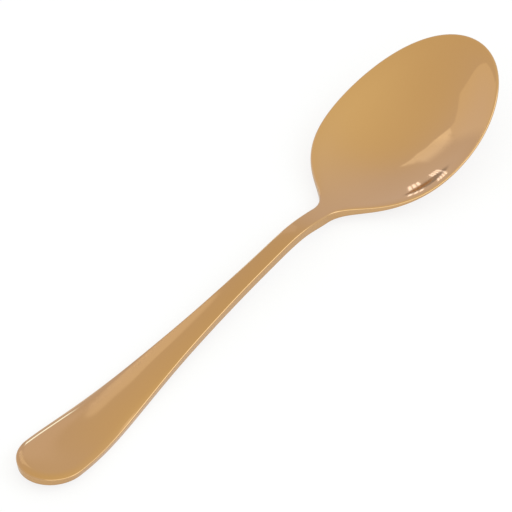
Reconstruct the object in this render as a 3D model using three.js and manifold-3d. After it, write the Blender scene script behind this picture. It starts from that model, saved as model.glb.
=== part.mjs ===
// Dessert spoon: one stamped sheet of stainless steel, forged thin at the bowl and polished all over.
// Millimetres, +Z up. +X runs from the handle's end to the bowl's tip, and the spoon rests on Z = 0.
import * as THREE from 'three';
import loadManifold from 'manifold-3d';

// Lengths of the zones, one after another along X
const handleLength = 108;
const neckLength = 9.4;
const shoulderLength = 35.6;
const tipLength = 32;

// Widths across Y, and the length of the handle's rounded end
const handleEndWidth = 18.1;
const stemWidth = 4.76;
const bowlWidth = 40.7;
const endRounding = 9.5;

// How far each outline curve runs on straight before it bends
const endReach = 19.9;
const stemReach = 62.9;
const neckReach = 11.6;
const shoulderReach = 26.1;

// Heights of the upper edge above the table, from the handle's end to the bowl's tip
const endHeight = 4.25;
const heelHeight = 2.1;
const shaftHeight = 4.3;
const archFootHeight = 6.4;
const archHeight = 7;
const throatHeight = 4;
const shoulderHeight = 5.45;
const flankHeight = 10.25;
const tipHeight = 18.1;

// Places of those heights: from the handle's end, before or past a zone's end
const heelPlace = 24;
const shaftPlace = 60;
const archFootBeforeNeck = 15.8;
const throatPastNeck = 7.9;
const shoulderBeforeWidest = 17.1;
const flankPastWidest = 7.35;

// The sheet: its dish, its crown, its thickness at the edges and what the middle has more of
const bowlDepth = 6;
const handleCrown = 1.1;
const handleThickness = 1.95;
const stemThickness = 2.8;
const neckThickness = 2.65;
const rimThickness = 1.05;
const thinningLength = 17.4;
const handleBelly = 0.2;
const neckBelly = 1.1;
const bowlBelly = 0.15;
const edgeBreak = 0.3;

// Depth of the flat that polishing and wear leave under the bowl, where it rests
const restFlat = 0.15;

// Points closer than this are one point
const weldStep = 0.001;

// Counts of steps along each outline curve, and across the sheet
const endSteps = 8;
const sideSteps = 20;
const stemSteps = 4;
const shoulderSteps = 26;
const tipSteps = 16;
const acrossSteps = 20;

const flareStart = handleLength + neckLength;
const bowlWidest = flareStart + shoulderLength;
const spoonLength = bowlWidest + tipLength;
const handleEndHalf = handleEndWidth / 2;
const stemHalf = stemWidth / 2;
const bowlHalf = bowlWidth / 2;
const smoothstep = THREE.MathUtils.smoothstep;

// A smooth curve through [place, value] pairs, as a function of the place along X
function smoothThrough(pairs) {
  const places = pairs.map((pair) => pair[0]);
  const values = pairs.map((pair) => pair[1]);
  const curve = new THREE.CubicInterpolant(places, values, 1);
  return (x) => curve.evaluate(x)[0];
}

const edgeHeight = smoothThrough([
  [0, endHeight],
  [heelPlace, heelHeight],
  [shaftPlace, shaftHeight],
  [handleLength - archFootBeforeNeck, archFootHeight],
  [handleLength, archHeight],
  [flareStart + throatPastNeck, throatHeight],
  [bowlWidest - shoulderBeforeWidest, shoulderHeight],
  [bowlWidest + flankPastWidest, flankHeight],
  [spoonLength, tipHeight],
]);

const edgeThickness = smoothThrough([
  [0, handleThickness],
  [heelPlace, handleThickness],
  [handleLength, stemThickness],
  [flareStart, neckThickness],
  [flareStart + thinningLength, rimThickness],
  [spoonLength, rimThickness],
]);

const belly = smoothThrough([
  [0, handleBelly],
  [heelPlace, handleBelly],
  [flareStart, neckBelly],
  [bowlWidest, bowlBelly],
  [spoonLength, bowlBelly],
]);

// Half of the plan outline, from the handle's end to the bowl's tip:
// a quarter ellipse, a drawn-in side, a straight stem, a flared shoulder and another quarter ellipse
function halfOutline() {
  const quarter = Math.PI / 2;
  const end = new THREE.EllipseCurve(endRounding, 0, endRounding, handleEndHalf, Math.PI, quarter, true);
  const side = new THREE.CubicBezierCurve(
    new THREE.Vector2(endRounding, handleEndHalf),
    new THREE.Vector2(endRounding + endReach, handleEndHalf),
    new THREE.Vector2(handleLength - stemReach, stemHalf),
    new THREE.Vector2(handleLength, stemHalf),
  );
  const stem = new THREE.LineCurve(
    new THREE.Vector2(handleLength, stemHalf),
    new THREE.Vector2(flareStart, stemHalf),
  );
  const shoulder = new THREE.CubicBezierCurve(
    new THREE.Vector2(flareStart, stemHalf),
    new THREE.Vector2(flareStart + neckReach, stemHalf),
    new THREE.Vector2(bowlWidest - shoulderReach, bowlHalf),
    new THREE.Vector2(bowlWidest, bowlHalf),
  );
  const tip = new THREE.EllipseCurve(bowlWidest, 0, tipLength, bowlHalf, quarter, 0, true);
  return [
    ...end.getPoints(endSteps),
    ...side.getPoints(sideSteps).slice(1),
    ...stem.getPoints(stemSteps).slice(1),
    ...shoulder.getPoints(shoulderSteps).slice(1),
    ...tip.getPoints(tipSteps).slice(1),
  ];
}

// How strongly the upper face curves across: dished in the bowl, crowned on the handle
function acrossCurve(x) {
  const bowlShare = smoothstep(x, handleLength, flareStart);
  const dish = bowlDepth / bowlHalf ** 2;
  const crown = handleCrown / handleEndHalf ** 2;
  return bowlShare * dish - (1 - bowlShare) * crown;
}

// One station for each outline point: its outward normal in plan, and the upper face's middle line
function stations() {
  const outline = halfOutline();
  const last = outline.length - 1;
  const mirrored = (point) => new THREE.Vector2(point.x, -point.y);
  const list = outline.map((point, i) => {
    const before = i > 0 ? outline[i - 1] : mirrored(outline[1]);
    const after = i < last ? outline[i + 1] : mirrored(outline[last - 1]);
    const along = after.clone().sub(before).normalize();
    return {
      x: point.x,
      half: Math.max(point.y, 0),
      outward: new THREE.Vector2(-along.y, along.x),
      curve: acrossCurve(point.x),
      middle: edgeHeight(point.x) - acrossCurve(point.x) * point.y ** 2,
    };
  });
  list.forEach((station, i) => {
    const before = list[Math.max(i - 1, 0)];
    const after = list[Math.min(i + 1, last)];
    station.slope = (after.middle - before.middle) / (after.x - before.x);
  });
  return list;
}

// A point of the sheet at a station: share -1 to 1 across, inset from the outline, and down through the sheet.
// Down is upright on the handle and turns square to the face in the bowl, so the rim is cut square too.
function sheetPoint(station, share, inset, depth) {
  const x = station.x - inset * station.outward.x;
  const y = share * Math.max(station.half - inset * station.outward.y, 0);
  const z = station.middle + station.slope * (x - station.x) + station.curve * y ** 2;
  const lean = smoothstep(station.x, flareStart, bowlWidest);
  const normal = new THREE.Vector3(-station.slope * lean, -2 * station.curve * y, 1).normalize();
  return new THREE.Vector3(x, y, z).addScaledVector(normal, -depth);
}

// The closed ring around the sheet at a station: upper face, one edge, lower face, other edge.
// The lower face stays flat under the handle's crown, and swells a little along the middle.
function sheetRing(station) {
  const thickness = edgeThickness(station.x);
  const underCrown = Math.max(-station.curve, 0) * station.half ** 2;
  const middleExtra = underCrown + belly(station.x) * smoothstep(station.half, 0, stemHalf);
  const shares = Array.from({ length: acrossSteps + 1 }, (unused, i) => 1 - 2 * i / acrossSteps);
  const lowerDepth = (share) => thickness + middleExtra * (1 - share ** 2);
  const upper = shares.map((share) => sheetPoint(station, share, edgeBreak, 0));
  const lower = shares.map((share) => sheetPoint(station, -share, edgeBreak, lowerDepth(share)));
  const edge = (side, depth) => sheetPoint(station, side, 0, depth);
  return [
    ...upper,
    edge(-1, edgeBreak),
    edge(-1, thickness - edgeBreak),
    ...lower,
    edge(1, thickness - edgeBreak),
    edge(1, edgeBreak),
  ];
}

// The rings set down so that the bowl's underside is worn flat at Z = 0, and centred along X
function seat(rings, centre) {
  const inBowl = rings.flat().filter((point) => point.x > flareStart);
  const lowest = Math.min(...inBowl.map((point) => point.z));
  const table = lowest + restFlat;
  return rings.map((ring) => ring.map((point) => (
    [point.x - centre, point.y, Math.max(point.z - table, 0)]
  )));
}

// Join the rings into one closed solid. The first and last rings close on themselves.
function joinRings(wasm, rings) {
  const positions = [];
  const triangles = [];
  const known = new Map();
  const indexOf = (point) => {
    const key = point.map((value) => Math.round(value / weldStep)).join(' ');
    if (!known.has(key)) {
      known.set(key, known.size);
      positions.push(...point);
    }
    return known.get(key);
  };
  const addTriangle = (a, b, c) => {
    if (a !== b && b !== c && c !== a) triangles.push(a, b, c);
  };
  const grid = rings.map((ring) => ring.map(indexOf));
  for (let i = 0; i + 1 < grid.length; i += 1) {
    const ring = grid[i];
    const next = grid[i + 1];
    ring.forEach((corner, j) => {
      const k = (j + 1) % ring.length;
      addTriangle(corner, ring[k], next[k]);
      addTriangle(corner, next[k], next[j]);
    });
  }
  const mesh = new wasm.Mesh({
    numProp: 3,
    vertProperties: new Float32Array(positions),
    triVerts: new Uint32Array(triangles),
  });
  return new wasm.Manifold(mesh);
}

// A zone of the spoon as a named mesh, with its own polished gold finish
function zoneMesh(name, solid, colour) {
  const mesh = solid.getMesh();
  const geometry = new THREE.BufferGeometry();
  geometry.setAttribute('position', new THREE.BufferAttribute(new Float32Array(mesh.vertProperties), 3));
  geometry.setIndex(new THREE.BufferAttribute(new Uint32Array(mesh.triVerts), 1));
  geometry.computeVertexNormals();
  const material = new THREE.MeshStandardMaterial({ color: colour, roughness: 0.16, metalness: 1 });
  const zone = new THREE.Mesh(geometry, material);
  zone.name = name;
  return zone;
}

const wasm = await loadManifold();
wasm.setup();

// The three zones meet face to face on flat planes across X. The real spoon has no seam there.
const sheetRings = stations().map(sheetRing);
const extent = new THREE.Box3().setFromPoints(sheetRings.flat());
const centre = (extent.min.x + extent.max.x) / 2;
const whole = joinRings(wasm, seat(sheetRings, centre));
const [bowl, shank] = whole.splitByPlane([1, 0, 0], flareStart - centre);
const [neck, handle] = shank.splitByPlane([1, 0, 0], handleLength - centre);

const spoon = new THREE.Group();
spoon.add(zoneMesh('bowl', bowl, 0xc49a62));
spoon.add(zoneMesh('neck', neck, 0xc29865));
spoon.add(zoneMesh('handle', handle, 0xc09663));

export default spoon;
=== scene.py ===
import math

import bpy
import numpy as np
from mathutils import Matrix, Vector


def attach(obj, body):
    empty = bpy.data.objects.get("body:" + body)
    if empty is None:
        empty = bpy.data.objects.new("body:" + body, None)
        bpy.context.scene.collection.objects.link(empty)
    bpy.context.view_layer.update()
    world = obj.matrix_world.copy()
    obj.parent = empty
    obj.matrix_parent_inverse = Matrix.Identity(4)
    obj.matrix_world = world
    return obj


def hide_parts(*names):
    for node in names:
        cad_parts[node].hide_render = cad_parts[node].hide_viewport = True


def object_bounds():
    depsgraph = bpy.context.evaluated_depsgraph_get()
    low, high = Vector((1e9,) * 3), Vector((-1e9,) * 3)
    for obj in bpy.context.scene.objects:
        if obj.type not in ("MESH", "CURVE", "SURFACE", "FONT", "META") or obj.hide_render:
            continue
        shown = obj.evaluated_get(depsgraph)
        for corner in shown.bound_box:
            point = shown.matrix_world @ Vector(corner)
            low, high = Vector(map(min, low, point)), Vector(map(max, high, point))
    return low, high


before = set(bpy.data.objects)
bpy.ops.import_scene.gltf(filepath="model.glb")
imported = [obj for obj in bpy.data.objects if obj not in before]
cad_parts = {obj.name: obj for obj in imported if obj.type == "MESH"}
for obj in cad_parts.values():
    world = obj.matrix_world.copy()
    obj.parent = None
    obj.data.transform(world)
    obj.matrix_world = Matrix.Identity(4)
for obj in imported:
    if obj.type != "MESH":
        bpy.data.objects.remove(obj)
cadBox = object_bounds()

mm = 0.001


# Sheet: the spoon is one surface, carried as rings along X from the handle's end to the bowl's tip

sheet = {  # millimetres, most of them as in the CAD model
    "handleLength": 108, "neckLength": 9.4, "shoulderLength": 35.6, "tipLength": 32,
    "handleEndWidth": 18.1, "stemWidth": 4.76, "bowlWidth": 40.7, "endRounding": 9.5,
    "endReach": 19.9, "stemReach": 62.9, "neckReach": 11.6, "shoulderReach": 26.1,
    "endHeight": 4.25, "heelHeight": 2.2, "shaftHeight": 4.3, "archFootHeight": 6.4, "archHeight": 7,
    "throatHeight": 4, "shoulderHeight": 5.45, "flankHeight": 10.25, "tipHeight": 18.1,
    "heelPlace": 24, "shaftPlace": 60, "archFootBeforeNeck": 15.8, "throatPastNeck": 7.9,
    "shoulderBeforeWidest": 17.1, "flankPastWidest": 7.35,
    "bowlDepth": 6.2, "neckDish": 0.7,  # and the share of the dish that the neck has
    # the handle's crown, the flatter one at its end, where one becomes the other, and how the sides lean
    "handleCrown": 1.3, "endCrown": 0.2, "crownRise": (8, 36), "sideCrown": 1.1,
    "handleThickness": 2.2, "stemThickness": 2.8, "neckThickness": 2.65, "rimThickness": 1.05,
    "thinningLength": 17.4, "handleBelly": 0.2, "neckBelly": 1.1, "bowlBelly": 0.6,
    # width and drop of the polished margins, and where the end's margin becomes the stem's
    "endEase": (2.6, 0.34), "stemEase": (0.5, 0.01), "rimEase": (4.5, 0.28), "endEaseFade": (24, 60),
    # how far polishing has rounded the edges, at most this share of the side's height
    "edgeRadius": 0.42, "edgeLimit": 0.45,
    "tableHeight": 0.039,  # where the CAD model's table lies in these heights
    # reach of the polishing that evens out the middle line, how many reaches count, and the step
    "fairing": 3.0, "fairingReaches": 4, "fairingStep": 0.1,
    "weldStep": 0.001,  # points closer than this are one point
    "endSteps": 90, "sideSteps": 250, "stemSteps": 24, "shoulderSteps": 190, "tipSteps": 150,
    "acrossSteps": 44, "easeSteps": 14, "roundSteps": 5, "fineSteps": 9000,
}


def smoothStep(value, start, end):
    # 3t^2 - 2t^3, with t running from 0 at start to 1 at end
    t = np.clip((value - start) / (end - start), 0, 1)
    return t * t * (3 - 2 * t)


def smoothThrough(places, values, x):
    # cubic Hermite pieces through the knots, each slope the mean of the two chords beside it
    places, values = np.array(places, float), np.array(values, float)
    step = np.diff(places)
    chord = np.diff(values) / step
    slope = np.concatenate([chord[:1], (chord[:-1] + chord[1:]) / 2, chord[-1:]])
    i = np.clip(np.searchsorted(places, x, side="right") - 1, 0, len(step) - 1)
    t = (x - places[i]) / step[i]
    rise = values[i] * (2 * t**3 - 3 * t**2 + 1) + values[i + 1] * (3 * t**2 - 2 * t**3)
    return rise + step[i] * (slope[i] * (t**3 - 2 * t**2 + t) + slope[i + 1] * (t**3 - t**2))


def bezier(a, b, c, d, steps):
    # cubic Bezier curve: the four points weighted by the Bernstein polynomials of t
    t = np.linspace(0, 1, steps + 1)[1:, None]
    a, b, c, d = (np.array(point, float) for point in (a, b, c, d))
    return a * (1 - t) ** 3 + 3 * b * t * (1 - t) ** 2 + 3 * c * t**2 * (1 - t) + d * t**3


def halfOutline(s, flare, wide):
    # quarter ellipse at the end, drawn-in side, straight stem, flared shoulder, quarter ellipse at the tip
    endHalf, stemHalf, bowlHalf = s["handleEndWidth"] / 2, s["stemWidth"] / 2, s["bowlWidth"] / 2
    turn = np.linspace(0, math.pi / 2, s["endSteps"] + 1)
    end = np.stack([s["endRounding"] * (1 - np.cos(turn)), endHalf * np.sin(turn)], 1)
    side = bezier((s["endRounding"], endHalf), (s["endRounding"] + s["endReach"], endHalf),
                  (s["handleLength"] - s["stemReach"], stemHalf), (s["handleLength"], stemHalf),
                  s["sideSteps"])
    stem = np.linspace((s["handleLength"], stemHalf), (flare, stemHalf), s["stemSteps"] + 1)[1:]
    shoulder = bezier((flare, stemHalf), (flare + s["neckReach"], stemHalf),
                      (wide - s["shoulderReach"], bowlHalf), (wide, bowlHalf), s["shoulderSteps"])
    turn = np.linspace(0, math.pi / 2, s["tipSteps"] + 1)[1:]
    tip = np.stack([wide + s["tipLength"] * np.sin(turn), bowlHalf * np.cos(turn)], 1)
    outline = np.concatenate([end, side, stem, shoulder, tip])
    outline[[0, -1], 1] = 0
    return outline


def faired(x, height, reach, reaches, step):
    # the height averaged along X with a bell curve, turned over at both ends so that those stay in place
    spread = reaches * reach
    far = np.arange(x[0] - spread, x[-1] + spread + step, step)
    over = np.interp(far, x, height)
    before, after = far < x[0], far > x[-1]
    over[before] = 2 * height[0] - np.interp(2 * x[0] - far[before], x, height)
    over[after] = 2 * height[-1] - np.interp(2 * x[-1] - far[after], x, height)
    bell = np.exp(-0.5 * (np.arange(-spread, spread + step, step) / reach) ** 2)
    even = np.convolve(over, bell / bell.sum(), mode="same")
    return np.interp(x, far, even)


def sheetRings(s):
    # one closed ring per outline point: upper face, rounded edge, lower face, rounded edge
    flare = s["handleLength"] + s["neckLength"]
    wide = flare + s["shoulderLength"]
    length = wide + s["tipLength"]
    endHalf, stemHalf, bowlHalf = s["handleEndWidth"] / 2, s["stemWidth"] / 2, s["bowlWidth"] / 2
    outline = halfOutline(s, flare, wide)
    x, half = outline.T
    mirrored = np.concatenate([outline[1:2] * (1, -1), outline, outline[-2:-1] * (1, -1)])
    along = mirrored[2:] - mirrored[:-2]
    along /= np.linalg.norm(along, axis=1)[:, None]
    outX, outY = -along[:, 1], along[:, 0]

    # upper face: middle line plus curve times y squared, dished in the bowl and crowned on the handle.
    # Towards an edge it eases down with the cube of the way, and the middle line is lifted by as much.
    fine = np.linspace(0, length, s["fineSteps"] + 1)
    edge = smoothThrough(
        [0, s["heelPlace"], s["shaftPlace"], s["handleLength"] - s["archFootBeforeNeck"],
         s["handleLength"], flare + s["throatPastNeck"], wide - s["shoulderBeforeWidest"],
         wide + s["flankPastWidest"], length],
        [s["endHeight"], s["heelHeight"], s["shaftHeight"], s["archFootHeight"], s["archHeight"],
         s["throatHeight"], s["shoulderHeight"], s["flankHeight"], s["tipHeight"]], fine)
    bowlShare = smoothStep(fine, s["handleLength"], flare)
    dishShare = s["neckDish"] + (1 - s["neckDish"]) * smoothStep(fine, flare, wide)
    dish = s["bowlDepth"] / bowlHalf**2 * dishShare
    crown = s["endCrown"] + (s["handleCrown"] - s["endCrown"]) * smoothStep(fine, *s["crownRise"])
    fineCurve = bowlShare * dish - (1 - bowlShare) * crown / endHalf**2
    offEnd, intoBowl = smoothStep(fine, *s["endEaseFade"]), smoothStep(fine, s["handleLength"], wide)
    eases = ("endEase", "stemEase", "rimEase")
    endEase, stemEase, rimEase = (np.array(s[name])[:, None] for name in eases)
    fineWidth, fineDrop = endEase + (stemEase - endEase) * offEnd + (rimEase - stemEase) * intoBowl
    fineHeight = edge + fineDrop - fineCurve * np.interp(fine, x, half**2)
    fineMiddle = faired(fine, fineHeight, s["fairing"], s["fairingReaches"], s["fairingStep"])
    slope = np.interp(x, fine, np.gradient(fineMiddle, fine))
    curve, easeWidth, easeDrop = (np.interp(x, fine, row) for row in (fineCurve, fineWidth, fineDrop))
    sideCurve = np.interp(x, fine, bowlShare * dish - (1 - bowlShare) * s["sideCrown"] / endHalf**2)
    lean = smoothStep(x, flare, wide)

    # lower face: the sheet's thickness below the upper, flat under the crown, swelling along the middle
    sideHeight = smoothThrough(
        [0, s["heelPlace"], s["handleLength"], flare, flare + s["thinningLength"], length],
        [s["handleThickness"], s["handleThickness"], s["stemThickness"], s["neckThickness"],
         s["rimThickness"], s["rimThickness"]], x)
    radius = np.minimum(s["edgeRadius"], s["edgeLimit"] * sideHeight)
    thickness = sideHeight + easeDrop
    belly = smoothThrough(
        [0, s["heelPlace"], flare, wide, length],
        [s["handleBelly"], s["handleBelly"], s["neckBelly"], s["bowlBelly"], s["bowlBelly"]], x)
    swell = np.maximum(-curve, 0) * half**2 + belly * smoothStep(half, 0, stemHalf)

    # every ring point has a share across, an inset from the outline and a depth below the upper face,
    # inset and turn in edge radii. A quarter circle turns the eased margin into the side.
    turn = np.linspace(0, math.pi / 2, s["roundSteps"] + 1)[1:]
    part = np.linspace(0, 1, s["easeSteps"] + 1)[1:]
    shares = np.linspace(1, -1, s["acrossSteps"] + 1)
    inward, down = 1 - np.sin(turn), 1 - np.cos(turn)
    flat, none, level = np.zeros_like(shares), np.zeros_like(turn), np.zeros_like(part)
    rim = np.ones(len(part) + 2 * len(turn))
    share = np.concatenate([shares, -rim, -shares, rim])
    inset = np.concatenate([flat + 1, level + 1, inward, inward[::-1],
                            flat + 1, inward, inward[::-1], level + 1])
    within = np.concatenate([flat + 1, 1 - part, none, none, flat, none, none, 1 - part[::-1]])
    eased = np.concatenate([flat, part**3, none + 1, none, flat, none, none + 1, part[::-1] ** 3])
    turned = np.concatenate([flat, level, down, -down[::-1], flat, -down, down[::-1], level])
    through = np.concatenate([flat, level, none, none + 1, flat + 1, none + 1, none, level])
    belowFace = np.concatenate([flat, level, none, none, flat + 1, none, none, level])

    inset = inset * radius[:, None] + within * easeWidth[:, None]
    depth = through * thickness[:, None] + eased * easeDrop[:, None] + turned * radius[:, None]
    depth = depth + belowFace * swell[:, None] * (1 - share**2)
    px = x[:, None] - inset * outX[:, None]
    py = share * np.maximum(half[:, None] - inset * outY[:, None], 0)
    pz = np.interp(px, fine, fineMiddle) + np.interp(px, fine, fineCurve) * py**2
    normal = np.stack([np.broadcast_to(-(slope * lean)[:, None], py.shape), -2 * sideCurve[:, None] * py,
                       np.ones_like(py)], -1)
    normal /= np.linalg.norm(normal, axis=-1)[..., None]
    points = np.stack([px, py, pz], -1) - depth[..., None] * normal

    # set down on the table, worn flat where it rests, and centred along X
    centre = (points[..., 0].min() + points[..., 0].max()) / 2
    points[..., 0] -= centre
    lowest = points[x > flare][..., 2].min()
    print("below the table before wearing flat:", np.round(s["tableHeight"] - lowest, 3), "mm")
    points[..., 2] = np.maximum(points[..., 2] - s["tableHeight"], 0)
    points *= np.minimum(1, np.array(cadBox[1]) / mm / np.abs(points).max((0, 1)))  # inside the CAD box

    # 1 on the rounded edges and 0 elsewhere, the mask of a painted highlight, and the rings where the neck
    # and the bowl begin
    highlightEdges = np.concatenate([level, none + 1, none + 1])
    edgeShare = np.broadcast_to(np.concatenate([flat, highlightEdges, flat, highlightEdges[::-1]]), py.shape)
    neckRing = s["endSteps"] + s["sideSteps"]
    return points * mm, edgeShare, neckRing, neckRing + s["stemSteps"]


def weldGrid(points):
    # one number for all grid points that fall on the same place, as they do at the two ends
    flat = points.reshape(-1, 3)
    keys = np.round(flat / (sheet["weldStep"] * mm)).astype(np.int64)
    first, number = np.unique(keys, axis=0, return_index=True, return_inverse=True)[1:]
    return flat[first], first, number.reshape(points.shape[:2])


def ringQuads(grid):
    # the four corners of each face between a ring and the next, every ring closed on itself
    nextAcross = np.roll(grid, -1, axis=1)
    return np.stack([grid[:-1], nextAcross[:-1], nextAcross[1:], grid[1:]], -1).reshape(-1, 4)


def faceNormals(vertices, quads):
    # the cross product of each face's diagonals, its length twice the face's area
    corners = vertices[quads]
    return np.cross(corners[:, 2] - corners[:, 0], corners[:, 3] - corners[:, 1])


def zonePiece(name, vertices, normals, edgeShare, number, firstRing, lastRing, node):
    # the faces between two rings as one closed piece, with flat faces where the zones meet
    grid = number[firstRing:lastRing + 1]
    distinct = [list(dict.fromkeys(face)) for face in ringQuads(grid).tolist()]
    faces = [face for face in distinct if len(face) > 2]
    loopNormals = [normals[np.concatenate(faces)]]
    caps = []
    if firstRing > 0:
        caps.append((grid[0][::-1].tolist(), (-1, 0, 0)))
    if lastRing < len(number) - 1:
        caps.append((grid[-1].tolist(), (1, 0, 0)))
    for cap, facing in caps:
        faces.append(cap)
        loopNormals.append(np.tile(facing, (len(cap), 1)))
    used = np.unique(np.concatenate(faces))
    lookup = np.zeros(len(vertices), int)
    lookup[used] = np.arange(len(used))
    mesh = bpy.data.meshes.new(name)
    mesh.from_pydata(vertices[used], [], [lookup[face].tolist() for face in faces])
    mesh.polygons.foreach_set("use_smooth", np.ones(len(mesh.polygons), bool))
    mesh.normals_split_custom_set(np.concatenate(loopNormals).tolist())
    # the mask of the rounded edges, where the gold is painted paler as a highlight
    highlightEdges = mesh.attributes.new("edgeShare", "FLOAT", "POINT")
    highlightEdges.data.foreach_set("value", edgeShare[used].astype(np.float32))
    mesh.update()
    piece = bpy.data.objects.new(name, mesh)
    bpy.context.scene.collection.objects.link(piece)
    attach(piece, "root")
    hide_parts(node)
    return piece


def makeSpoon():
    # the whole sheet cut at two rings. A point's normal is the sum of those of the faces around it,
    # taken before the cut, so that no seam shows
    points, edgeGrid, neckRing, bowlRing = sheetRings(sheet)
    vertices, first, number = weldGrid(points)
    edgeShare = edgeGrid.reshape(-1)[first]
    quads = ringQuads(number)
    outward = faceNormals(vertices, quads)
    normals = np.zeros_like(vertices)
    np.add.at(normals, quads.reshape(-1), np.repeat(outward, 4, axis=0))
    normals /= np.linalg.norm(normals, axis=1)[:, None]
    last = len(number) - 1
    zones = (("spoonHandle", 0, neckRing, "handle"), ("spoonNeck", neckRing, bowlRing, "neck"),
             ("spoonBowl", bowlRing, last, "bowl"))
    pieces = [zonePiece(name, vertices, normals, edgeShare, number, start, end, node)
              for name, start, end, node in zones]
    print("spoon:", ", ".join(f"{piece.name} {len(piece.data.polygons)} faces" for piece in pieces))
    return pieces


# Shader maths

def linear(red, green, blue):
    # screen colour, 0 to 255, to the linear colour that the shader takes
    channels = (value / 255 for value in (red, green, blue))
    return tuple(c / 12.92 if c <= 0.04045 else ((c + 0.055) / 1.055) ** 2.4 for c in channels) + (1,)


class Wire:
    # one output socket, on which sums and products add Math nodes
    def __init__(self, graph, socket):
        self.graph, self.socket = graph, socket

    def worked(self, operation, first, second):
        return self.graph.make("ShaderNodeMath", {"operation": operation}, {0: first, 1: second})

    def __add__(self, other):
        return self.worked("ADD", self, other)

    def __sub__(self, other):
        return self.worked("SUBTRACT", self, other)

    def __rsub__(self, other):
        return self.worked("SUBTRACT", other, self)

    def __mul__(self, other):
        return self.worked("MULTIPLY", self, other)

    def __truediv__(self, other):
        return self.worked("DIVIDE", self, other)

    def __rtruediv__(self, other):
        return self.worked("DIVIDE", other, self)

    __radd__ = __add__
    __rmul__ = __mul__


class Graph:
    # a node tree whose nodes are all made by one method
    def __init__(self, tree):
        self.tree = tree
        tree.nodes.clear()

    def make(self, kind, settings, inputs, output=0):
        node = self.tree.nodes.new(kind)
        for name, value in settings.items():
            setattr(node, name, value)
        for name, value in inputs.items():
            if isinstance(value, Wire):
                self.tree.links.new(value.socket, node.inputs[name])
            else:
                node.inputs[name].default_value = value
        return Wire(self, node.outputs[output]) if node.outputs else node

    def fade(self, value, start, end):
        # 0 at start, 1 at end, smooth between
        return self.make("ShaderNodeMapRange", {"interpolation_type": "SMOOTHSTEP"},
                         {"Value": value, "From Min": start, "From Max": end})

    def mixColour(self, share, first, second, blend="MIX"):
        # the second colour over the first by its share; sockets 6 and 7 and output 2 are the colours
        return self.make("ShaderNodeMix", {"data_type": "RGBA", "blend_type": blend},
                         {"Factor": share, 6: first, 7: second}, 2)

    def addColour(self, share, first, second):
        # the first colour plus the share of the second
        return self.mixColour(share, first, second, "ADD")

    def noise(self, place, scale, detail, roughness=0.5):
        return self.make("ShaderNodeTexNoise", {},
                         {"Vector": place, "Scale": scale, "Detail": detail, "Roughness": roughness})

    def stretched(self, place, scale, turn=(0, 0, 0)):
        return self.make("ShaderNodeMapping", {}, {"Vector": place, "Scale": scale, "Rotation": turn})


# Gold: a mirror-polished warm coat, with a slow drift in tone, fine polishing lines, faint hairlines and a
# painted highlight on the rounded edges

gold = {
    "bowlTone": linear(198, 158, 112), "stemTone": linear(189, 148, 100), "endTone": linear(193, 152, 105),
    "bowlFrom": 0.01, "bowlFull": 0.04, "stemFrom": -0.045, "stemFull": 0.0,
    "deepTone": linear(188, 146, 98), "deepShare": 0.35,
    # the paler tone of the rounded edges is a painted highlight, mixed in by its share
    "edgeHighlightTone": linear(206, 168, 124), "edgeHighlightShare": 0.3,
    "driftScale": 16, "driftDetail": 2, "driftStart": 0.35, "driftEnd": 0.7,
    "hazeScale": 55, "hazeDetail": 4, "hazeGrain": 0.6, "hazeStart": 0.5, "hazeEnd": 0.72,
    "lineScale": (25, 1400, 1400), "lineDetail": 3,
    "hairScale": (60, 2600, 2600), "hairDetail": 1, "hairStart": 0.74, "hairEnd": 0.8,
    "hairTurns": (0.35, -0.5),  # two turns of the noise, for two sets of hairs
    "rippleScale": 130, "rippleDetail": 1,
    "roughness": 0.04, "lineRoughness": 0.02, "hazeRoughness": 0.02, "hairRoughness": 0.04,
    "rippleHeight": 1.2e-6, "lineHeight": 0.12e-6,  # metres
}


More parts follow.
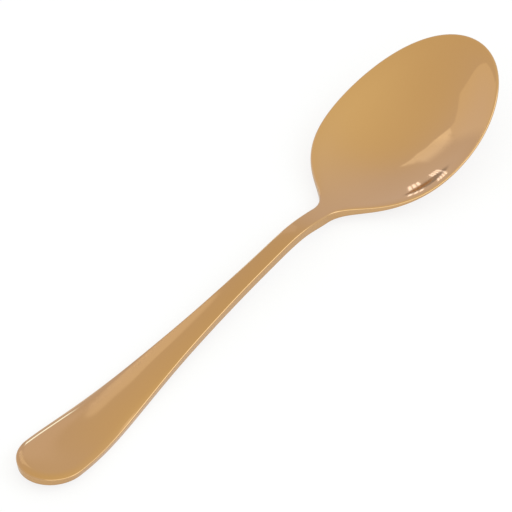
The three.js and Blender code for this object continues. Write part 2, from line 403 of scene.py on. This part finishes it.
def goldFinish():
    material = bpy.data.materials.new("polishedGold")
    material.use_nodes = True
    graph = Graph(material.node_tree)
    place = graph.make("ShaderNodeTexCoord", {}, {}, "Object")
    along = graph.make("ShaderNodeSeparateXYZ", {}, {0: place}, "X")
    # 1 on the rounded edges, where a highlight is painted into the colour
    edge = graph.make("ShaderNodeAttribute", {"attribute_name": "edgeShare"}, {}, "Fac")

    # drift and haze are cloudy noise, lines and hairs are noise drawn out along the spoon
    drift = graph.noise(place, gold["driftScale"], gold["driftDetail"])
    drift = graph.fade(drift, gold["driftStart"], gold["driftEnd"])
    lines = graph.noise(graph.stretched(place, gold["lineScale"]), 1, gold["lineDetail"])
    haze = graph.noise(place, gold["hazeScale"], gold["hazeDetail"], gold["hazeGrain"])
    haze = graph.fade(haze, gold["hazeStart"], gold["hazeEnd"])

    def hairlines(turn):
        drawn = graph.stretched(place, gold["hairScale"], (0, 0, turn))
        return graph.fade(graph.noise(drawn, 1, gold["hairDetail"]), gold["hairStart"], gold["hairEnd"])

    firstTurn, secondTurn = gold["hairTurns"]
    hair = hairlines(firstTurn) + hairlines(secondTurn)
    ripple = graph.noise(place, gold["rippleScale"], gold["rippleDetail"])

    # tone: end to stem to bowl along X, deeper where it drifts, and paler on the rounded edges as a painted
    # highlight
    stemShare = graph.fade(along, gold["stemFrom"], gold["stemFull"])
    bowlShare = graph.fade(along, gold["bowlFrom"], gold["bowlFull"])
    tone = graph.mixColour(stemShare, gold["endTone"], gold["stemTone"])
    tone = graph.mixColour(bowlShare, tone, gold["bowlTone"])
    tone = graph.mixColour(drift * gold["deepShare"], tone, gold["deepTone"])
    # painted highlight: the rounded edges are made paler
    tone = graph.mixColour(edge * gold["edgeHighlightShare"], tone, gold["edgeHighlightTone"])

    # roughness: a low base plus lines, haze and hairs; height: a faint ripple plus the lines
    roughness = (lines * gold["lineRoughness"] + haze * gold["hazeRoughness"]
                 + hair * gold["hairRoughness"] + gold["roughness"])
    height = ripple * gold["rippleHeight"] + lines * gold["lineHeight"]
    bump = graph.make("ShaderNodeBump", {}, {"Strength": 1, "Distance": 1, "Height": height})
    shader = graph.make("ShaderNodeBsdfPrincipled", {}, {
        "Base Color": tone, "Metallic": 1, "Roughness": roughness, "Normal": bump})
    graph.make("ShaderNodeOutputMaterial", {}, {"Surface": shader})
    print("gold finish:", len(material.node_tree.nodes), "nodes")
    return material


# Studio: a white light tent, warmer overhead, with two soft boxes in front and a dim gap at the back

studio = {  # sides, rises, sizes and soft edges in degrees; glow and gap run between two cosines
    "horizon": (0.943, 0.945, 1.049, 1), "zenith": (0.997, 0.952, 0.758, 1), "warmFrom": 23.6, "warmTo": 90,
    "glowSide": 16.5, "glowRise": 2, "glowFrom": -0.5, "glowTo": 1, "glow": (0.144, 0.183, 0.091, 1),
    "keySide": 42, "keyRise": 37, "keyHalfWidth": 15, "keyHalfHeight": 12, "keySoft": 3,
    "keyLight": (1.2, 1.45, 1.95, 1),
    "fillSide": -18, "fillRise": 42, "fillHalfWidth": 36, "fillHalfHeight": 11, "fillSoft": 4,
    "fillLight": (1.1, 1.3, 1.6, 1),
    "frontFade": 0.1,  # keeps the soft boxes from showing again behind
    "gapSide": 144, "gapFrom": 0.9, "gapTo": 0.96,
    "gapTop": 11.1, "gapTilt": 0.136, "gapSoft": 0.4, "gapDim": 0.46,
}


def toward(azimuth, elevation=0):
    # unit vector, azimuth 0 along -Y and 90 along +X, in degrees
    a, e = math.radians(azimuth), math.radians(elevation)
    return Vector((math.sin(a) * math.cos(e), -math.cos(a) * math.cos(e), math.sin(e)))


def tangent(degrees):
    return math.tan(math.radians(degrees))


def sine(degrees):
    return math.sin(math.radians(degrees))


def lightTent():
    # horizon to zenith colour with the rise, plus a broad glow and the soft boxes, times 1 less the gap
    world = bpy.data.worlds.new("lightTent")
    bpy.context.scene.world = world
    world.use_nodes = True
    graph = Graph(world.node_tree)
    look = graph.make("ShaderNodeTexCoord", {}, {}, "Generated")

    def along(vector):
        return graph.make("ShaderNodeVectorMath", {"operation": "DOT_PRODUCT"},
                          {0: look, 1: vector}, "Value")

    s = studio
    warm = graph.fade(along((0, 0, 1)), sine(s["warmFrom"]), sine(s["warmTo"]))
    tent = graph.mixColour(warm, s["horizon"], s["zenith"])
    glow = graph.fade(along(toward(s["glowSide"], s["glowRise"])), s["glowFrom"], s["glowTo"])
    tent = graph.addColour(glow, tent, s["glow"])

    def within(value, reach, soft):
        # 1 up to the reach on both sides and 0 beyond it, smooth over the soft angle
        inside, outside = tangent(reach - soft), tangent(reach + soft)
        return graph.fade(value, outside, inside) * graph.fade(value, -outside, -inside)

    def softBox(name):
        # a rectangle square to its own direction, with soft edges
        side, soft = s[name + "Side"], s[name + "Soft"]
        aim = toward(side, s[name + "Rise"])
        front, right = along(aim), toward(side + 90)
        across, up = along(right) / front, along(right.cross(aim)) / front
        return (within(across, s[name + "HalfWidth"], soft) * within(up, s[name + "HalfHeight"], soft)
                * graph.fade(front, 0, s["frontFade"]))

    # the dim gap low at the back, between floor and tent, under a slightly tilted top
    overTop = along(Vector((0, 0, 1)) - toward(s["gapSide"] + 90) * s["gapTilt"])
    facing = graph.fade(along(toward(s["gapSide"])), s["gapFrom"], s["gapTo"])
    under = graph.fade(overTop, sine(s["gapTop"] + s["gapSoft"]), sine(s["gapTop"] - s["gapSoft"]))
    gap = facing * under * s["gapDim"]

    for name in ("key", "fill"):
        tent = graph.addColour(softBox(name), tent, s[name + "Light"])
    lit = graph.make("ShaderNodeBackground", {}, {"Color": tent, "Strength": 1 - gap})
    plain = graph.make("ShaderNodeBackground", {}, {"Color": (1, 1, 1, 1), "Strength": 1})
    seen = graph.make("ShaderNodeLightPath", {}, {}, "Is Camera Ray")
    shown = graph.make("ShaderNodeMixShader", {}, {0: seen, 1: lit, 2: plain})
    graph.make("ShaderNodeOutputWorld", {}, {"Surface": shown})
    print("light tent:", len(world.node_tree.nodes), "nodes")


# Reflector cards: pale upright strips behind the spoon, seen only as reflections in it

paneBars = {"barEdge": 0.05, "paneEdge": 0.3}  # where a cell's dark bar ends and its pane is full

cards = {  # posts along each card: x, y, foot and top in metres; fades as shares of width and height;
    # cells, the panes in a row, 0 on a plain card; the pieces that a card is set up for, none for all
    "backCard": {
        "posts": ((0.426, 0.411, 0.436, 0.442), (0.405, 0.433, 0.409, 0.458), (0.370, 0.469, 0.365, 0.485),
                  (0.340, 0.500, 0.265, 0.533), (0.292, 0.550, 0.278, 0.547), (0.256, 0.560, 0.285, 0.555),
                  (0.238, 0.565, 0.318, 0.548), (0.208, 0.573, 0.385, 0.535), (0.165, 0.585, 0.478, 0.504),
                  (0.160, 0.582, 0.490, 0.500)),
        "footFade": 0.5, "topFade": 0.02, "startFade": 0.02, "endFade": 0.02, "cells": 0,
        "tone": (0.8, 0.95, 1.1, 1), "light": 0.34, "lights": ("spoonBowl",)},
    "shaftCard": {
        "posts": ((0.405, 0.433, 0.642, 0.645), (0.397, 0.442, 0.604, 0.640), (0.377, 0.462, 0.530, 0.634),
                  (0.366, 0.473, 0.500, 0.632), (0.355, 0.485, 0.455, 0.630), (0.334, 0.506, 0.385, 0.630),
                  (0.292, 0.550, 0.300, 0.620), (0.208, 0.573, 0.250, 0.600)),
        "footFade": 0.08, "topFade": 0.02, "startFade": 0.12, "endFade": 0.1, "cells": 0,
        "tone": (0.8, 0.95, 1.1, 1), "light": 0.24, "lights": ("spoonHandle", "spoonNeck")},
    "marginCard": {
        "posts": ((0.481, 0.578, 0.214, 0.35), (0.412, 0.637, 0.214, 0.35)),
        "footFade": 0.2, "topFade": 0.2, "startFade": 0.1, "endFade": 0.1, "cells": 0,
        "tone": (0.6, 1.1, 1.8, 1), "light": 1.8, "lights": ("spoonHandle",)},
    "edgeCard": {
        "posts": ((0.630, 0.490, 0, 0.165), (0.470, 0.647, 0, 0.160), (0.274, 0.752, 0, 0.150)),
        "footFade": 0.05, "topFade": 0.1, "startFade": 0.05, "endFade": 0.05, "cells": 0,
        "tone": (0.95, 1.0, 1.1, 1), "light": 0.45, "lights": ("spoonHandle", "spoonNeck")},
    "endCard": {
        "posts": ((0.370, 0.536, 0.24, 0.555), (0.406, 0.503, 0.24, 0.560), (0.456, 0.450, 0.24, 0.561),
                  (0.500, 0.391, 0.24, 0.561), (0.538, 0.328, 0.24, 0.561)),
        "footFade": 0.3, "topFade": 0.22, "startFade": 0.2, "endFade": 0.1, "cells": 0,
        "tone": (0.7, 0.85, 1.5, 1), "light": 0.1, "lights": ("spoonHandle",)},
    "sideCard": {
        "posts": ((0.275, 0.555, 0.050, 0.550), (0.208, 0.573, 0.050, 0.535), (0.165, 0.585, 0.050, 0.502),
                  (0.160, 0.582, 0.050, 0.498), (0.125, 0.562, 0.050, 0.480), (0.054, 0.521, 0.050, 0.510),
                  (0.028, 0.507, 0.050, 0.528), (-0.030, 0.475, 0.050, 0.568),
                  (-0.090, 0.464, 0.050, 0.535)),
        "footFade": 0.5, "topFade": 0.02, "startFade": 0.2, "endFade": 0.02, "cells": 0,
        "tone": (0.95, 1.05, 0.9, 1), "light": 0.15, "lights": ("spoonBowl",)},
    "paneCardLeft": {
        "posts": ((0.544, 0.543, 0.145, 0.2), (0.507, 0.575, 0.145, 0.2)),
        "footFade": 0.1, "topFade": 0.15, "startFade": 0.02, "endFade": 0.02, "cells": 3,
        "tone": (0.9, 1.05, 1.5, 1), "light": 1.6, "lights": ()},
    "paneCardRight": {
        "posts": ((0.473, 0.602, 0.15, 0.207), (0.44, 0.623, 0.15, 0.207)),
        "footFade": 0.1, "topFade": 0.15, "startFade": 0.02, "endFade": 0.02, "cells": 4,
        "tone": (0.9, 1.05, 1.5, 1), "light": 1.6, "lights": ()},
}


def lightCard(name, card):
    # a strip of upright faces from post to post, with u along it and v from foot to top
    posts = np.array(card["posts"])
    count = len(posts)
    low, high = posts[:, [0, 1, 2]], posts[:, [0, 1, 3]]
    i = np.arange(count - 1)
    faces = np.stack([i, i + 1, i + 1 + count, i + count], 1)
    mesh = bpy.data.meshes.new(name)
    mesh.from_pydata(np.concatenate([low, high]), [], faces.tolist())
    u = np.concatenate([[0], np.cumsum(np.linalg.norm(np.diff(posts[:, :2], axis=0), axis=1))])
    u /= u[-1]
    uv = np.concatenate([np.column_stack([u, np.zeros(count)]), np.column_stack([u, np.ones(count)])])
    mesh.uv_layers.new(name="cardMap").data.foreach_set("uv", uv[faces.reshape(-1)].reshape(-1))
    piece = bpy.data.objects.new(name, mesh)
    bpy.context.scene.collection.objects.link(piece)
    piece.visible_camera = False
    piece.visible_diffuse = False
    piece.visible_shadow = False
    if card["lights"]:
        receivers = bpy.data.collections.new(name)
        for receiver in card["lights"]:
            receivers.objects.link(bpy.data.objects[receiver])
        piece.light_linking.receiver_collection = receivers

    # see-through glow: the product of the fades along its four sides, times the row of panes
    material = bpy.data.materials.new(name)
    material.use_nodes = True
    graph = Graph(material.node_tree)
    place = graph.make("ShaderNodeUVMap", {"uv_map": "cardMap"}, {})
    across = graph.make("ShaderNodeSeparateXYZ", {}, {0: place}, "X")
    up = graph.make("ShaderNodeSeparateXYZ", {}, {0: place}, "Y")
    level = (graph.fade(up, 0, card["footFade"]) * graph.fade(up, 1, 1 - card["topFade"])
             * graph.fade(across, 0, card["startFade"]) * graph.fade(across, 1, 1 - card["endFade"]))
    if card["cells"]:
        bar, pane = paneBars["barEdge"], paneBars["paneEdge"]
        cell = graph.make("ShaderNodeMath", {"operation": "FRACT"}, {0: across * card["cells"]})
        level = level * graph.fade(cell, bar, pane) * graph.fade(cell, 1 - bar, 1 - pane)
    glow = graph.make("ShaderNodeEmission", {}, {"Color": card["tone"], "Strength": level * card["light"]})
    clear = graph.make("ShaderNodeBsdfTransparent", {}, {})
    both = graph.make("ShaderNodeAddShader", {}, {0: glow, 1: clear})
    graph.make("ShaderNodeOutputMaterial", {}, {"Surface": both})
    mesh.materials.append(material)


# Floor: a round of matt white just under the spoon

floorSet = {
    "radius": 3.0, "drop": 0.1 * mm, "corners": 128,
    "white": 0.9, "seenWhite": 0.8, "mirroredWhite": 0.35,  # shares of plain white, seen and mirrored
}


def paleFloor():
    # a circle's points as one face, seen through from below
    turn = np.linspace(0, 2 * math.pi, floorSet["corners"], endpoint=False)
    ring = np.stack([floorSet["radius"] * np.cos(turn), floorSet["radius"] * np.sin(turn),
                     np.full_like(turn, -floorSet["drop"])], 1)
    mesh = bpy.data.meshes.new("paleFloor")
    mesh.from_pydata(ring, [], [list(range(len(ring)))])
    floor = bpy.data.objects.new("paleFloor", mesh)
    bpy.context.scene.collection.objects.link(floor)

    # matt white that keeps a soft shadow; the camera sees it mostly as plain white, mirrors partly
    material = bpy.data.materials.new("floorWhite")
    material.use_nodes = True
    graph = Graph(material.node_tree)
    rays = {name: graph.make("ShaderNodeLightPath", {}, {}, name)
            for name in ("Is Camera Ray", "Is Glossy Ray", "Is Transmission Ray")}
    mirrored = (rays["Is Glossy Ray"] + rays["Is Transmission Ray"]) * floorSet["mirroredWhite"]
    white = floorSet["white"]
    matt = graph.make("ShaderNodeBsdfDiffuse", {}, {"Color": (white, white, white, 1)})
    glow = graph.make("ShaderNodeEmission", {}, {"Color": (1, 1, 1, 1), "Strength": 1})
    surface = graph.make("ShaderNodeMixShader", {}, {
        0: rays["Is Camera Ray"] * floorSet["seenWhite"] + mirrored, 1: matt, 2: glow})
    clear = graph.make("ShaderNodeBsdfTransparent", {}, {})
    below = graph.make("ShaderNodeNewGeometry", {}, {}, "Backfacing")
    oneSided = graph.make("ShaderNodeMixShader", {}, {0: below, 1: surface, 2: clear})
    graph.make("ShaderNodeOutputMaterial", {}, {"Surface": oneSided})
    mesh.materials.append(material)
    print("floor: radius", floorSet["radius"], "m")


# Camera: where the photograph was taken from

view = {
    "azimuth": -51.822, "elevation": 42.06, "roll": -1.172,
    "pixels": 512, "focalPixels": 4500, "distance": 1.13855,
    "aim": (0, 0, 5.33 * mm), "aimPixel": (261.46, 263.6), "sensor": 36, "clip": (0.05, 20),
}


def photoCamera():
    # axes from azimuth and elevation, turned by the roll, and a place from which aim falls on aimPixel
    back, level = toward(view["azimuth"], view["elevation"]), toward(view["azimuth"] + 90)
    rising = back.cross(level)
    roll = math.radians(view["roll"])
    right = math.cos(roll) * level + math.sin(roll) * rising
    up = math.cos(roll) * rising - math.sin(roll) * level
    middle = view["pixels"] / 2
    across = (view["aimPixel"][0] - middle) / view["focalPixels"]
    over = (middle - view["aimPixel"][1]) / view["focalPixels"]
    place = Vector(view["aim"]) - (across * right + over * up - back) * view["distance"]
    data = bpy.data.cameras.new("photoCamera")
    data.sensor_width = view["sensor"]
    data.lens = view["sensor"] * view["focalPixels"] / view["pixels"]
    data.clip_start, data.clip_end = view["clip"]
    camera = bpy.data.objects.new("photoCamera", data)
    bpy.context.scene.collection.objects.link(camera)
    camera.matrix_world = Matrix.Translation(place) @ Matrix((right, up, back)).transposed().to_4x4()
    bpy.context.scene.camera = camera
    print("camera:", tuple(round(value, 4) for value in place), "lens", round(data.lens, 1))


photoCamera()
finish = goldFinish()
for piece in makeSpoon():
    piece.data.materials.append(finish)
lightTent()
for name, card in cards.items():
    lightCard(name, card)
print("cards:", ", ".join(cards))
paleFloor()
bpy.context.scene.view_settings.view_transform = "Standard"
